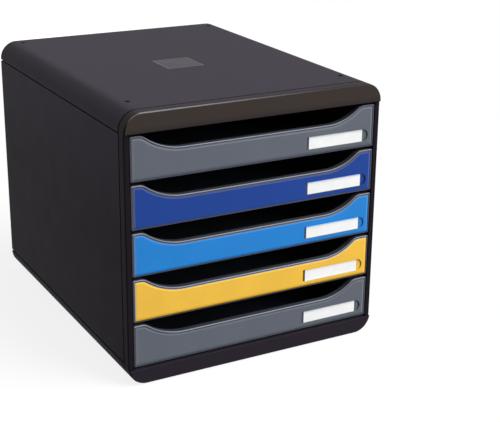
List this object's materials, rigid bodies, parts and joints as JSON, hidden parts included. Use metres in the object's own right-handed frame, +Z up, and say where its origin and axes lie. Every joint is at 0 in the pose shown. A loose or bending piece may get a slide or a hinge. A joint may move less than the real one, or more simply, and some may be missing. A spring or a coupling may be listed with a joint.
{
  "type": "file box with drawer",
  "caption": "Desktop filing box with a rounded black casing and shallow pull-out drawers, each with a scooped front, an inset coloured panel and a slide-in label.",
  "frame": {"origin": "middle of the casing's outline, on the surface that the feet stand on", "axes": "+Z up, drawers open towards -Y, +X to the right as seen from the drawers"},
  "size_m": [0.278, 0.347, 0.271],
  "materials": {
    "casing": "fine-grained black moulding",
    "foot": "smooth black rubber",
    "tray": "semi-gloss slate grey moulding",
    "panel_grey": "gloss slate grey",
    "panel_navy": "gloss navy blue",
    "panel_blue": "gloss mid blue",
    "panel_yellow": "gloss warm yellow",
    "label": "bare white card"
  },
  "bodies": {
    "casing": {"front_bezel": "casing", "top_cover": "casing", "base": "casing", "side_panel_left": "casing", "side_panel_right": "casing", "back_panel": "casing", "foot_front_left": "foot", "foot_front_right": "foot", "foot_back_left": "foot", "foot_back_right": "foot"},
    "drawer_1": {"tray_1": "tray", "front_panel_1": "panel_grey", "label_card_1": "label"},
    "drawer_2": {"tray_2": "tray", "front_panel_2": "panel_navy", "label_card_2": "label"},
    "drawer_3": {"tray_3": "tray", "front_panel_3": "panel_blue", "label_card_3": "label"},
    "drawer_4": {"tray_4": "tray", "front_panel_4": "panel_yellow", "label_card_4": "label"},
    "drawer_5": {"tray_5": "tray", "front_panel_5": "panel_grey", "label_card_5": "label"}
  },
  "joints": [
    {"name": "drawer_1_slide", "type": "slide", "parent": "casing", "child": "drawer_1", "axis": [0, -1, 0], "range_m": [0, 0.25]},
    {"name": "drawer_2_slide", "type": "slide", "parent": "casing", "child": "drawer_2", "axis": [0, -1, 0], "range_m": [0, 0.25]},
    {"name": "drawer_3_slide", "type": "slide", "parent": "casing", "child": "drawer_3", "axis": [0, -1, 0], "range_m": [0, 0.25]},
    {"name": "drawer_4_slide", "type": "slide", "parent": "casing", "child": "drawer_4", "axis": [0, -1, 0], "range_m": [0, 0.25]},
    {"name": "drawer_5_slide", "type": "slide", "parent": "casing", "child": "drawer_5", "axis": [0, -1, 0], "range_m": [0, 0.25]}
  ]
}
